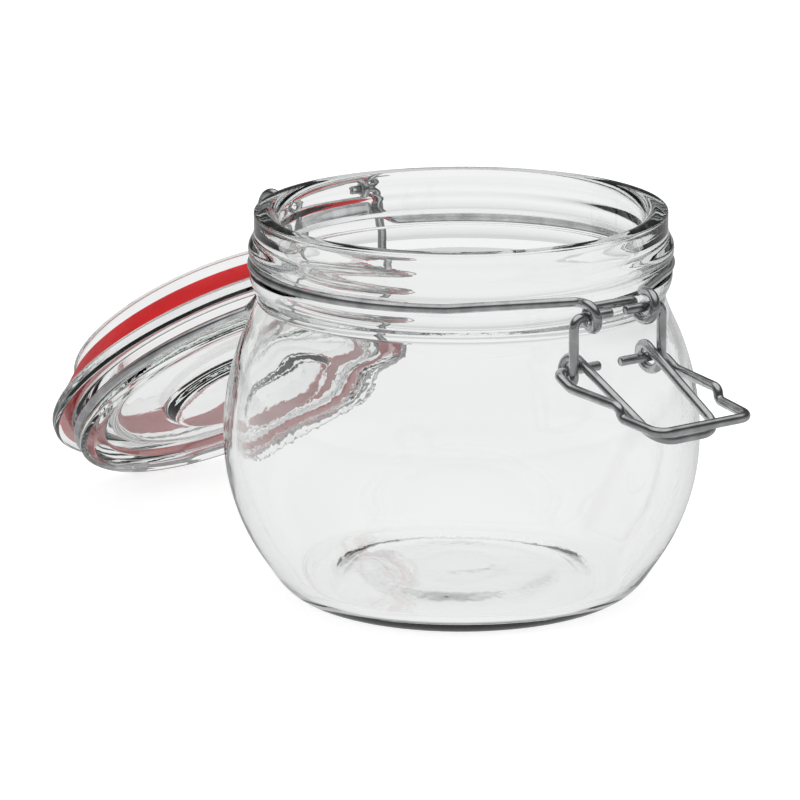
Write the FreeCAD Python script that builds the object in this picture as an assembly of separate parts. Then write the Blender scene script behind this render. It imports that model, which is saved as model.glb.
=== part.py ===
# Clip-top storage jar, half-litre size, shown with its lid swung open.
# Millimetres. Origin on the jar's axis at the foot, +Z up.
# The clasp is on the -Y side and the lid hinge on the +Y side.
import FreeCAD, Part
import math
import os
from FreeCAD import Vector

os.makedirs("parts", exist_ok=True)

# ---- wire, common to every bent piece ----
wire_diameter = 2.2
groove_play = 0.05          # between a wire and the bottom of its groove

# ---- glass jar, radii of the neck from the rim's, heights of the neck down from the rim ----
jar_height = 89.2
rim_radius = 47.0
mouth_radius = 41.5
belly_overhang = 7.6
belly_height = 37.0
waist_inset = 0.5
waist_drop = 20.2
foot_radius = 34.6
foot_width = 4.0
foot_recess = 2.3           # of the base's pushed-up middle above the foot
push_radius = 24.0          # of the pushed-up middle
wall = 3.3
base_thickness = 3.8        # at the foot
push_up = 2.2               # of the inside floor's middle
bead_overhang = 1.4
bead_drop = 8.6
ledge_overhang = 1.1
ledge_drop = 15.0
groove_drop = 12.0          # to the middle of the wire groove round the neck
groove_inset = 0.65
groove_room = 0.2           # groove width over the wire's

# ---- glass lid, heights from the widest plane of its flange ----
flange_inset = 0.7          # inside the rim
flange_thickness = 3.2
lid_rim_inset = 4.1
lid_rim_top = 8.6
lid_groove_depth = 1.75
lid_groove_height = 4.55
plate_top = 7.0
plate_under = 2.6
boss_radius = 19.1
boss_top = 9.2
plug_play = 4.6             # between the plug and the mouth
plug_wall = 3.7
plug_depth = 12.2

# ---- rubber gasket, a flat ring dished down round the lid's plug ----
gasket_overhang = 3.1       # of its outer edge beyond the mouth
gasket_thickness = 2.6
gasket_drop = 6.45          # of its inner edge below the flange
gasket_stand = 1.4          # of that edge off the plug
gasket_play = 0.1           # round the plug
rim_gap = 2.9               # of the flange above the rim with the lid shut

# ---- hinge ----
hinge_clearance = 3.4       # of the hinge line behind the belly, so that the open lid clears it
hinge_drop = 7.6
hinge_eye_x = 12.3
rest_gap = 0.4              # of the open lid's hook above the table
lean_gap = 1.2              # of the open lid off the shoulder, where it leans on a taller jar

# ---- eyes and coils ----
loop_radius = 2.9           # to the middle of the wire
coil_pitch = 2.4

# ---- clasp: reach is forward of the neck wire's eyes, drop is down from them ----
eye_x = 7.6
eye_stand = 7.2             # of the eyes' near side off the neck wire's circle
eye_rise = 2.0              # of the eyes' upper run above the groove
leg_x = 12.2
leg_length = 12.3
stub_end_x = 2.0
lever_end_reach = 25.0
lever_end_drop = 22.9
lever_end_x = 8.6
bail_x = 14.8
bail_stub_end_x = 3.0
bail_end_reach = 30.3
bail_end_drop = 19.3
bail_end_x = 12.6
kink_reach = 17.8
kink_drop = 15.7
kink_depth = 2.5

# ---- lid wire ----
hook_x = 7.6
hook_overhang = 1.9         # of the hook beyond the flange
hook_drop = 1.2
arm_x = 16.3
arm_overhang = 3.2          # of the arms' bend beyond the flange
lid_stub_end_x = 8.6

# ---- sizes that follow from those above ----
wire_r = wire_diameter / 2
groove_width = wire_diameter + groove_room
belly_radius = rim_radius + belly_overhang
bead_radius = rim_radius + bead_overhang
bead_height = jar_height - bead_drop
ledge_radius = rim_radius + ledge_overhang
ledge_height = jar_height - ledge_drop
groove_radius = rim_radius - groove_inset
groove_height = jar_height - groove_drop
waist_radius = rim_radius - waist_inset
waist_height = jar_height - waist_drop
foot_inner_radius = foot_radius - foot_width
neck_inner_end = groove_height - 2.0
flange_radius = rim_radius - flange_inset
flange_bottom = -flange_thickness / 2
lid_rim_radius = flange_radius - lid_rim_inset
lid_groove_radius = lid_rim_radius - lid_groove_depth
plug_radius = mouth_radius - plug_play
plug_inner_radius = plug_radius - plug_wall
gasket_radius = mouth_radius + gasket_overhang
neck_wire_radius = groove_radius + groove_play + wire_r
lid_wire_radius = lid_groove_radius + groove_play + wire_r
lid_height = jar_height + rim_gap - flange_bottom
hinge_back = belly_radius + hinge_clearance
hinge_height = jar_height - hinge_drop
eye_front = neck_wire_radius + eye_stand + loop_radius
eye_height = groove_height + eye_rise - loop_radius
lever_end_front = eye_front + lever_end_reach
lever_end_height = eye_height - lever_end_drop
bail_end_front = eye_front + bail_end_reach
bail_end_height = eye_height - bail_end_drop
kink_front = eye_front + kink_reach
kink_height = eye_height - kink_drop
arm_back = flange_radius + arm_overhang
hook_front = flange_radius + hook_overhang
hook_height = lid_height + lid_groove_height - hook_drop

# outline of the jar's shoulder, from the belly up to the waist
shoulder = [
    (belly_radius, belly_height),
    (belly_radius - 0.7, waist_height - 22.5),
    (belly_radius - 2.4, waist_height - 14.8),
    (waist_radius + 3.1, waist_height - 7.5),
    (waist_radius + 1.1, waist_height - 3.1),
    (waist_radius, waist_height),
]


def hook_rest_deg():
    """Opening at which the lid's hook comes down to the table."""
    swing = math.hypot(hook_front + hinge_back, hook_height - hinge_height)
    start = math.atan2(hook_height - hinge_height, -hook_front - hinge_back)
    fall = math.asin((hinge_height - wire_r - rest_gap) / swing)
    return math.degrees(start + fall)


def shoulder_rest_deg(radius, height):
    """Opening at which the lid's top comes against one point of the shoulder."""
    away = math.hypot(radius - hinge_back, height - hinge_height)
    direction = math.atan2(height - hinge_height, radius - hinge_back)
    top = lid_height + lid_rim_top + lean_gap - hinge_height
    lid_edge = math.hypot(hinge_back - lid_rim_radius, top)
    if away <= lid_edge:
        return 360.0
    return math.degrees(math.pi - math.asin(top / away) - direction)


# the lid swings back until it rests on the table or leans on the jar
lid_open_deg = min([hook_rest_deg()] + [shoulder_rest_deg(r, z) for r, z in shoulder])


def revolve(edges):
    """Turn a closed outline in the XZ plane all the way round Z."""
    face = Part.Face(Part.Wire(edges))
    solid = face.revolve(Vector(0, 0, 0), Vector(0, 0, 1), 360)
    return solid


def outline(parts):
    """Edges of a closed outline from point lists; a list of over two points is a curve."""
    edges = []
    for points in parts:
        vectors = [Vector(r, 0, z) for r, z in points]
        if len(vectors) == 2:
            edges.append(Part.LineSegment(vectors[0], vectors[1]).toShape())
        else:
            curve = Part.BSplineCurve()
            curve.interpolate(vectors)
            edges.append(curve.toShape())
    return edges


def arc(start, middle, end):
    """Edge of a circular arc through three (radius, height) points."""
    a, b, c = [Vector(r, 0, z) for r, z in (start, middle, end)]
    return Part.Arc(a, b, c).toShape()


def quarter(centre, radius, from_deg, to_deg):
    """Edge of an arc about a (radius, height) centre."""
    points = []
    for deg in (from_deg, (from_deg + to_deg) / 2, to_deg):
        turn = math.radians(deg)
        points.append((centre[0] + radius * math.cos(turn), centre[1] + radius * math.sin(turn)))
    return arc(points[0], points[1], points[2])


def make_jar_glass():
    rim_round = 0.8
    mouth_round = 2.6
    groove_low = groove_height - groove_width / 2
    groove_high = groove_height + groove_width / 2
    outer = outline([
        [(foot_radius, 0), (foot_radius + 3.7, 0.75), (foot_radius + 6.5, 2.5),
         (foot_radius + 9.6, 6.4), (belly_radius - 6.5, 12.4), (belly_radius - 2.9, 20.2),
         (belly_radius - 0.7, 28.5)] + shoulder,
        [(waist_radius, waist_height), (waist_radius + 0.3, waist_height + 1.6),
         (ledge_radius - 0.4, ledge_height - 1.7), (ledge_radius, ledge_height)],
        [(ledge_radius, ledge_height), (ledge_radius, groove_low - 0.7)],
        [(ledge_radius, groove_low - 0.7), (groove_radius, groove_low)],
        [(groove_radius, groove_low), (groove_radius, groove_high)],
        [(groove_radius, groove_high), (bead_radius - 0.2, groove_high + 0.7)],
        [(bead_radius - 0.2, groove_high + 0.7), (bead_radius, bead_height),
         (bead_radius - 0.2, bead_height + 1.3), (rim_radius + 0.3, bead_height + 3.1),
         (rim_radius, bead_height + 4.4)],
        [(rim_radius, bead_height + 4.4), (rim_radius, jar_height - rim_round)],
    ])
    rim = [quarter((rim_radius - rim_round, jar_height - rim_round), rim_round, 0, 90)]
    mouth_edge = mouth_radius + mouth_round
    rim += outline([[(rim_radius - rim_round, jar_height), (mouth_edge, jar_height)]])
    rim += [quarter((mouth_edge, jar_height - mouth_round), mouth_round, 90, 180)]
    inner = outline([
        [(mouth_radius, jar_height - mouth_round), (mouth_radius, neck_inner_end)],
        [(mouth_radius, neck_inner_end), (mouth_radius + 0.2, waist_height + 2.0),
         (waist_radius + 1.1 - wall, waist_height - 4.8),
         (belly_radius - 2.4 - wall, waist_height - 15.8),
         (belly_radius - wall, belly_height), (belly_radius - 0.6 - wall, 29.0),
         (belly_radius - 2.7 - wall, 21.2), (belly_radius - 6.1 - wall, 14.0),
         (foot_radius + 10.2 - wall, 8.3), (foot_radius + 7.4 - wall, base_thickness + 1.3),
         (foot_radius + 4.6 - wall, base_thickness + 0.2), (foot_radius - 2.0, base_thickness)],
        [(foot_radius - 2.0, base_thickness), (push_radius + 4.0, base_thickness + 0.15),
         (push_radius, base_thickness + 0.7), (push_radius - 4.5, base_thickness + 1.5),
         (push_radius - 11.0, base_thickness + push_up - 0.2),
         (push_radius - 16.0, base_thickness + push_up)],
        [(push_radius - 16.0, base_thickness + push_up), (0, base_thickness + push_up)],
        [(0, base_thickness + push_up), (0, foot_recess)],
        [(0, foot_recess), (push_radius - 16.0, foot_recess)],
        [(push_radius - 16.0, foot_recess), (push_radius - 11.0, foot_recess - 0.15),
         (push_radius - 4.5, foot_recess - 0.6), (push_radius, foot_recess - 1.1),
         (foot_inner_radius - 2.0, 0.55), (foot_inner_radius, 0)],
        [(foot_inner_radius, 0), (foot_radius, 0)],
    ])
    return revolve(outer + rim + inner)


def make_lid_glass():
    half = flange_thickness / 2
    edge = 1.2
    groove_low = lid_groove_height - groove_width / 2
    groove_high = lid_groove_height + groove_width / 2
    rim_round = 1.2
    rim_inner = lid_rim_radius - 4.0
    shape = outline([
        [(0, plate_under), (plug_inner_radius - 3.0, plate_under)],
        [(plug_inner_radius - 3.0, plate_under), (plug_inner_radius - 0.6, plate_under - 0.8),
         (plug_inner_radius, plate_under - 3.0)],
        [(plug_inner_radius, plate_under - 3.0), (plug_inner_radius, 1.6 - plug_depth)],
    ])
    tip = (plug_radius + plug_inner_radius) / 2
    shape += [arc((plug_inner_radius, 1.6 - plug_depth), (tip, -plug_depth),
                  (plug_radius, 1.6 - plug_depth))]
    shape += outline([
        [(plug_radius, 1.6 - plug_depth), (plug_radius, -half)],
        [(plug_radius, -half), (flange_radius - edge, -half)],
    ])
    shape += [quarter((flange_radius - edge, -half + edge), edge, -90, 0)]
    shape += outline([[(flange_radius, -half + edge), (flange_radius, half - edge)]])
    shape += [quarter((flange_radius - edge, half - edge), edge, 0, 90)]
    shape += outline([
        [(flange_radius - edge, half), (lid_groove_radius + 1.6, half)],
        [(lid_groove_radius + 1.6, half), (lid_groove_radius, groove_low)],
        [(lid_groove_radius, groove_low), (lid_groove_radius, groove_high)],
        [(lid_groove_radius, groove_high), (lid_rim_radius, groove_high + 0.7)],
        [(lid_rim_radius, groove_high + 0.7), (lid_rim_radius, lid_rim_top - rim_round)],
    ])
    shape += [quarter((lid_rim_radius - rim_round, lid_rim_top - rim_round), rim_round, 0, 90)]
    shape += outline([
        [(lid_rim_radius - rim_round, lid_rim_top), (rim_inner + 1.0, lid_rim_top)],
        [(rim_inner + 1.0, lid_rim_top), (rim_inner - 0.6, plate_top + 0.8),
         (rim_inner - 2.6, plate_top)],
        [(rim_inner - 2.6, plate_top), (boss_radius + 1.2, plate_top + 0.6)],
        [(boss_radius + 1.2, plate_top + 0.6), (boss_radius, boss_top - 0.5)],
        [(boss_radius, boss_top - 0.5), (boss_radius - 1.0, boss_top)],
        [(boss_radius - 1.0, boss_top), (0, boss_top)],
        [(0, boss_top), (0, plate_under)],
    ])
    return revolve(shape)


def make_gasket():
    """The outer edge is up against the flange and the inner end is square to the faces."""
    inner = plug_radius + gasket_play
    round_r = 0.6
    tip = (plug_radius + gasket_stand, flange_bottom - gasket_drop)
    edge = (gasket_radius, flange_bottom - 0.4)
    width = math.hypot(edge[0] - tip[0], edge[1] - tip[1])
    out, up = (edge[0] - tip[0]) / width, (edge[1] - tip[1]) / width
    end_height = tip[1] + (tip[0] - inner) * out / up
    inner_top = tip[1] - (tip[0] - inner) * up / out + gasket_thickness / out
    top_radius = tip[0] + (flange_bottom - tip[1] - gasket_thickness / out) * out / up
    on_face = (tip[0] + round_r * out, tip[1] + round_r * up)
    on_end = (tip[0] - round_r * up, tip[1] + round_r * out)
    centre = (on_face[0] - round_r * up, on_face[1] + round_r * out)
    far = math.hypot(tip[0] - centre[0], tip[1] - centre[1])
    on_corner = (centre[0] + (tip[0] - centre[0]) * round_r / far,
                 centre[1] + (tip[1] - centre[1]) * round_r / far)
    shape = outline([
        [on_face, edge],
        [edge, (gasket_radius - 0.2, flange_bottom)],
        [(gasket_radius - 0.2, flange_bottom), (top_radius, flange_bottom)],
        [(top_radius, flange_bottom), (inner, inner_top)],
        [(inner, inner_top), (inner, end_height)],
        [(inner, end_height), on_end],
    ])
    shape += [arc(on_end, on_corner, on_face)]
    return revolve(shape)


def bent_edges(points, bends):
    """Straight runs joined by round bends; bends maps a point's place to its radius."""
    edges = []
    start = points[0]
    for place in range(1, len(points) - 1):
        before, corner, after = points[place - 1], points[place], points[place + 1]
        inward = (before - corner).normalize()
        outward = (after - corner).normalize()
        half_turn = math.acos(max(-1.0, min(1.0, -inward.dot(outward)))) / 2
        reach = bends[place] * math.tan(half_turn)
        first = corner + inward * reach
        last = corner + outward * reach
        bisector = (inward + outward).normalize()
        centre = corner + bisector * (bends[place] / math.cos(half_turn))
        middle = centre - bisector * bends[place]
        if (first - start).Length > 1e-6:
            edges.append(Part.LineSegment(start, first).toShape())
        edges.append(Part.Arc(first, middle, last).toShape())
        start = last
    edges.append(Part.LineSegment(start, points[-1]).toShape())
    return edges


def mirrored(edges):
    """The same edges on the other side of the YZ plane."""
    return [edge.mirror(Vector(0, 0, 0), Vector(1, 0, 0)) for edge in edges]


def pipe(edges):
    """Solid round wire along joined edges."""
    path = Part.Wire(Part.__sortEdges__(edges))
    first = path.OrderedEdges[0]
    at_start = first.Vertexes[0].Point
    tip = path.OrderedVertexes[0].Point
    parameter = first.FirstParameter
    if (first.valueAt(parameter) - tip).Length > 1e-6:
        parameter = first.LastParameter
    circle = Part.Circle(tip, first.tangentAt(parameter), wire_r)
    return path.makePipeShell([Part.Wire(circle.toShape())], True, False)


def front(x, forward, z):
    """Point forward of the axis, on the clasp side."""
    return Vector(x, -forward, z)


def back(x, behind, z):
    """Point behind the axis, on the hinge side."""
    return Vector(x, behind, z)


def band(radius, height, front_deg, back_deg):
    """Arc round the +X side, from an angle off the front to an angle off the back."""
    spread = (front_deg + 180 - back_deg) / 2
    ends = []
    for deg in (front_deg, spread, 180 - back_deg):
        turn = math.radians(deg)
        ends.append(Vector(radius * math.sin(turn), -radius * math.cos(turn), height))
    return Part.Arc(ends[0], ends[1], ends[2]).toShape()


def tangent_deg(x, away, radius):
    """Angle off the front (or back) at which a tangent through (x, away) meets the circle."""
    far = math.hypot(x, away)
    return math.degrees(math.atan2(x, away) + math.acos(radius / far))


def make_neck_wire():
    high = eye_height + loop_radius
    low = eye_height - loop_radius
    near = eye_front - loop_radius
    far = eye_front + loop_radius
    first_x = eye_x - coil_pitch / 2
    last_x = eye_x + coil_pitch / 2
    leave_deg = tangent_deg(last_x, near, neck_wire_radius)
    turn = math.radians(leave_deg)
    leave = front(neck_wire_radius * math.sin(turn), neck_wire_radius * math.cos(turn),
                  groove_height)
    eye_points = [
        front(0, near, eye_height + 1.1),
        front(first_x, near, eye_height + 1.1),
        front(first_x + coil_pitch * 0.2, near, low),
        front(first_x + coil_pitch * 0.45, far, low),
        front(first_x + coil_pitch * 0.7, far, high),
        front(last_x, near, high),
        leave,
    ]
    eye_bends = {1: 1.8, 2: 2.7, 3: 2.7, 4: 2.7, 5: 2.4}
    eye_edges = bent_edges(eye_points, eye_bends)

    back_deg = 24.0
    turn = math.radians(back_deg)
    from_groove = back(neck_wire_radius * math.sin(turn), neck_wire_radius * math.cos(turn),
                       groove_height)
    run = (from_groove.x - (hinge_eye_x + coil_pitch * 0.6)) / math.cos(turn)
    bend = back(from_groove.x - run * math.cos(turn), from_groove.y + run * math.sin(turn),
                groove_height)
    low = hinge_height - loop_radius
    high = hinge_height + loop_radius
    near = hinge_back - loop_radius
    far = hinge_back + loop_radius
    hinge_points = [
        from_groove,
        bend,
        back(hinge_eye_x + coil_pitch * 0.45, far, low),
        back(hinge_eye_x + coil_pitch * 0.15, far, high),
        back(hinge_eye_x - coil_pitch * 0.15, near, high),
        back(hinge_eye_x - coil_pitch * 0.5, near, low - 0.5),
        back(0, near, low - 0.5),
    ]
    hinge_bends = {1: 2.4, 2: 2.7, 3: 2.7, 4: 2.7, 5: 1.8}
    hinge_edges = bent_edges(hinge_points, hinge_bends)
    half = eye_edges + [band(neck_wire_radius, groove_height, leave_deg, back_deg)] + hinge_edges
    return pipe(half), pipe(mirrored(half))


def make_lid_wire():
    height = lid_height + lid_groove_height
    front_deg = 17.0
    turn = math.radians(front_deg)
    from_band = front(lid_wire_radius * math.sin(turn), lid_wire_radius * math.cos(turn), height)
    run = (from_band.x - hook_x) / math.cos(turn)
    bend = front(hook_x, -from_band.y + run * math.sin(turn), height)
    hook_points = [
        front(0, hook_front, height - hook_drop),
        front(hook_x, hook_front, height - hook_drop),
        bend,
        from_band,
    ]
    hook_edges = bent_edges(hook_points, {1: 2.4, 2: 1.9})
    back_deg = 28.0
    turn = math.radians(back_deg)
    from_band = back(lid_wire_radius * math.sin(turn), lid_wire_radius * math.cos(turn), height)
    run = (from_band.x - arm_x) / math.cos(turn)
    arm_points = [
        from_band,
        back(arm_x, from_band.y + run * math.sin(turn), height),
        back(arm_x, arm_back, height),
        back(arm_x, hinge_back, hinge_height),
        back(lid_stub_end_x, hinge_back, hinge_height),
    ]
    arm_edges = bent_edges(arm_points, {1: 1.9, 2: 3.0, 3: 2.2})
    half = hook_edges + [band(lid_wire_radius, height, front_deg, back_deg)] + arm_edges
    return pipe(half + mirrored(half))


def coil_points():
    """Corners round the lever's coil from the arm's tangent to the upright leg."""
    centre_front = eye_front - loop_radius
    centre_height = eye_height - leg_length
    reach_front = lever_end_front - centre_front
    reach_down = lever_end_height - centre_height
    far = math.hypot(reach_front, reach_down)
    start = math.atan2(reach_down, reach_front) + math.acos(loop_radius / far)
    count = 4
    step = (2 * math.pi - start) / count
    corner = loop_radius / math.cos(step / 2)
    points = []
    for number in range(count):
        turn = start + (number + 0.5) * step
        x = leg_x - coil_pitch + coil_pitch * (number + 0.5) / count
        points.append(front(x, centre_front + corner * math.cos(turn),
                            centre_height + corner * math.sin(turn)))
    return points


def make_lever():
    points = [
        front(0, lever_end_front, lever_end_height),
        front(lever_end_x, lever_end_front, lever_end_height),
    ]
    points += coil_points()
    points += [
        front(leg_x, eye_front, eye_height),
        front(stub_end_x, eye_front, eye_height),
    ]
    bends = {1: 4.6, 2: 2.75, 3: 2.75, 4: 2.75, 5: 2.75, 6: 2.0}
    half = bent_edges(points, bends)
    return pipe(half + mirrored(half))


def make_bail():
    coil_front = eye_front - loop_radius
    coil_height = eye_height - leg_length
    points = [
        front(0, bail_end_front, bail_end_height),
        front(bail_end_x, bail_end_front, bail_end_height),
        front(bail_end_x + 0.8, kink_front + 0.8, kink_height - kink_depth),
        front(bail_end_x + 1.1, kink_front, kink_height),
        front(bail_x - 0.2, coil_front + 5.0, coil_height - 2.4),
        front(bail_x, coil_front, coil_height),
        front(bail_stub_end_x, coil_front, coil_height),
    ]
    half = bent_edges(points, {1: 2.4, 2: 1.2, 3: 1.2, 4: 6.0, 5: 2.0})
    return pipe(half + mirrored(half))


def swing_open(shape):
    """Turn a shut-lid piece about the hinge line to where the lid rests."""
    moved = shape.copy()
    moved.rotate(Vector(0, hinge_back, hinge_height), Vector(1, 0, 0), -lid_open_deg)
    return moved


def raise_lid(shape):
    moved = shape.copy()
    moved.translate(Vector(0, 0, lid_height))
    return moved


neck_right, neck_left = make_neck_wire()
solids = {
    "jar_glass": make_jar_glass(),
    "neck_wire": neck_right.fuse(neck_left).removeSplitter(),
    "lid_glass": swing_open(raise_lid(make_lid_glass())),
    "gasket": swing_open(raise_lid(make_gasket())),
    "lid_wire": swing_open(make_lid_wire()),
    "lever": make_lever(),
    "bail": make_bail(),
}

for name, shape in solids.items():
    if shape.ShapeType != "Solid":
        shape = shape.Solids[0]
    print(name, shape.isValid(), round(shape.Volume / 1000, 2), "cm3", shape.BoundBox)
    shape.exportStep("parts/%s.step" % name)
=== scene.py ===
import math
import bpy
import numpy as np
from mathutils import Matrix


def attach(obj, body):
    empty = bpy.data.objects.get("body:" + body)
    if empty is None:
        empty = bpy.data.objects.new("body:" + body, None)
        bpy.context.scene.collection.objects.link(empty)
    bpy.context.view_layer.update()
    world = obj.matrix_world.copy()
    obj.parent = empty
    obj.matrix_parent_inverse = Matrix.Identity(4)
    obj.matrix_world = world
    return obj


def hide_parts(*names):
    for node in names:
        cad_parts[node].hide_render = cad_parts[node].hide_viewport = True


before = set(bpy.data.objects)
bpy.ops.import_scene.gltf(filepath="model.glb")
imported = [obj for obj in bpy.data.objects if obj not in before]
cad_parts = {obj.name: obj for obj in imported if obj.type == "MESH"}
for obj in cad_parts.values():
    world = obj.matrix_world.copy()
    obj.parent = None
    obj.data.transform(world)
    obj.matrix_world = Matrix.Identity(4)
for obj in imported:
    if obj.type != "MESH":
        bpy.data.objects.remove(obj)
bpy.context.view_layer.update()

scene = bpy.context.scene
mm = 0.001
mirror = np.array([-1.0, 1.0, 1.0])     # from the +X side to the -X side

# Sizes are in millimetres, measured from the jar's axis and its foot.
wire = {
    "diameter": 2.2,
    "play": 0.05,           # between a wire and the bottom of its groove
    "sides": 28,            # round the wire
    "step": 0.22,           # along the wire
    "cutBevel": 0.16,       # on the sheared ends
    "loop": 2.9,            # radius of eyes and coils, to the middle of the wire
    "pitch": 2.4,           # of one turn of a loop
    "ease": 0.7,            # window over which the joins of a route are eased
}
wireRadius = wire["diameter"] / 2
grooveHalf = wireRadius + 0.1           # half the height of a groove that takes the wire
outlineStep = 0.05                      # between an outline's points before they are thinned
turnWeight = 4.0                        # millimetres of outline that a radian of turning counts as


# Natural cubic spline: runs through every point with matching slope and curvature,
# the parameter being the distance along the points.
def splineThrough(points, spacing=0.1):
    points = np.asarray(points, float)
    gaps = np.linalg.norm(np.diff(points, axis=0), axis=1)
    knots = np.concatenate([[0], np.cumsum(gaps)])
    count = len(points)
    system = np.eye(count)
    inside = np.arange(1, count - 1)
    system[inside, inside - 1] = gaps[:-1]
    system[inside, inside] = 2 * (gaps[:-1] + gaps[1:])
    system[inside, inside + 1] = gaps[1:]
    slopes = np.diff(points, axis=0) / gaps[:, None]
    right = np.zeros_like(points)
    right[inside] = 6 * np.diff(slopes, axis=0)
    bend = np.linalg.solve(system, right)
    along = np.linspace(0, knots[-1], max(4, int(knots[-1] / spacing)))
    span = np.clip(np.searchsorted(knots, along, side="right") - 1, 0, count - 2)
    gap = gaps[span][:, None]
    near = ((knots[span + 1] - along) / gaps[span])[:, None]
    far = 1 - near
    return (near * points[span] + far * points[span + 1]
            + ((near ** 3 - near) * bend[span] + (far ** 3 - far) * bend[span + 1]) * gap ** 2 / 6)


# Points at even distances along a run of points.
def evenSteps(points, spacing):
    points = np.asarray(points, float)
    gaps = np.linalg.norm(np.diff(points, axis=0), axis=1)
    apart = gaps > 1e-9
    points = points[np.concatenate([[True], apart])]
    along = np.concatenate([[0], np.cumsum(gaps[apart])])
    wanted = np.linspace(0, along[-1], int(round(along[-1] / spacing)) + 1)
    return np.stack([np.interp(wanted, along, column) for column in points.T], axis=1)


# Average over a window of steps. The line goes on past each end as its own reflection:
# through the end point for a wire, or across the axis for a turned outline.
def averaged(points, window, acrossAxis=False):
    half = window // 2
    if half < 1:
        return points
    flip = np.array([-1.0, 1.0])
    if acrossAxis:
        before = points[1:half + 1][::-1] * flip
        after = points[-half - 1:-1][::-1] * flip
    else:
        before = 2 * points[0] - points[1:half + 1][::-1]
        after = 2 * points[-1] - points[-half - 1:-1][::-1]
    long = np.concatenate([before, points, after])
    return windowMean(long, half)


# The mean of each point and its neighbours, so many each way.
def windowMean(points, half):
    kernel = np.full(2 * half + 1, 1 / (2 * half + 1))
    return np.stack([np.convolve(column, kernel, "valid") for column in points.T], axis=1)


# A mesh from a grid of points [row, place, xyz]. Places close into a ring; the first and
# last rows may close to a point. Rows run so that place direction x row direction is outward.
def meshFromGrid(name, grid, poleStart=None, poleEnd=None, lengths=None, closed=False):
    rows, places = grid.shape[:2]
    i = np.arange(rows if closed else rows - 1)[:, None]
    j = np.arange(places)[None, :]
    nextJ = (j + 1) % places
    nextI = (i + 1) % rows
    quads = np.stack([i * places + j, i * places + nextJ,
                      nextI * places + nextJ, nextI * places + j], axis=-1).reshape(-1, 4)
    points = grid.reshape(-1, 3)
    faces = quads.tolist()
    ring = np.arange(places)
    if poleStart is not None:
        tip = len(points)
        points = np.vstack([points, poleStart])
        faces += np.stack([np.roll(ring, -1), ring, np.full(places, tip)], axis=1).tolist()
    if poleEnd is not None:
        tip = len(points)
        points = np.vstack([points, poleEnd])
        last = (rows - 1) * places + ring
        faces += np.stack([last, np.roll(last, -1), np.full(places, tip)], axis=1).tolist()
    mesh = bpy.data.meshes.new(name)
    mesh.from_pydata((points * mm).tolist(), [], faces)
    mesh.shade_smooth()
    if lengths is not None:
        addAlongMap(mesh, len(i), places, lengths, poleStart is not None, poleEnd is not None)
    mesh.update()
    piece = bpy.data.objects.new(name, mesh)
    scene.collection.objects.link(piece)
    return piece


# UV map of a wire: u is the length along it in metres, v the turn round it.
def addAlongMap(mesh, bands, places, lengths, startTip, endTip):
    i = np.repeat(np.arange(bands), places)
    j = np.tile(np.arange(places), bands)
    u = np.stack([lengths[i], lengths[i], lengths[i + 1], lengths[i + 1]], axis=1)
    v = np.stack([j, j + 1, j + 1, j], axis=1) / places
    corners = [np.stack([u.ravel(), v.ravel()], axis=1)]
    ring = np.arange(places) / places
    if startTip:
        tip = np.stack([np.full((places, 3), lengths[0]),
                        np.stack([ring + 1 / places, ring, ring], axis=1)], axis=2)
        corners.append(tip.reshape(-1, 2))
    if endTip:
        tip = np.stack([np.full((places, 3), lengths[-1]),
                        np.stack([ring, ring + 1 / places, ring], axis=1)], axis=2)
        corners.append(tip.reshape(-1, 2))
    layer = mesh.uv_layers.new(name="along")
    layer.data.foreach_set("uv", np.concatenate(corners).astype(np.float32).ravel())


# Turned surface: the outline (radius, height) is carried round the axis. swell is added to
# the radius and lift to the height, each a function of the outline's row and the angle.
def turned(outline, segments, swell=None, lift=None):
    angle = np.linspace(0, 2 * math.pi, segments, endpoint=False)[None, :]
    radius = outline[:, :1] + (0 if swell is None else swell(outline, angle))
    height = outline[:, 1:] + (0 if lift is None else lift(outline, angle))
    height = np.broadcast_to(height, (len(outline), segments))
    radius = np.broadcast_to(radius, (len(outline), segments))
    return np.stack([radius * np.cos(angle), radius * np.sin(angle), height], axis=-1)


# Rows of an outline spaced closer where it bends: distance and turning are added up,
# and the rows stand at even shares of the sum.
def bentSteps(points, count):
    step = np.diff(points, axis=0)
    length = np.linalg.norm(step, axis=1)
    heading = np.unwrap(np.arctan2(step[:, 1], step[:, 0]))
    turn = np.abs(np.diff(heading, append=heading[-1]))
    share = np.concatenate([[0], np.cumsum(length + turnWeight * turn)])
    wanted = np.linspace(0, share[-1], count)
    return np.stack([np.interp(wanted, share, column) for column in points.T], axis=1)


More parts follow.
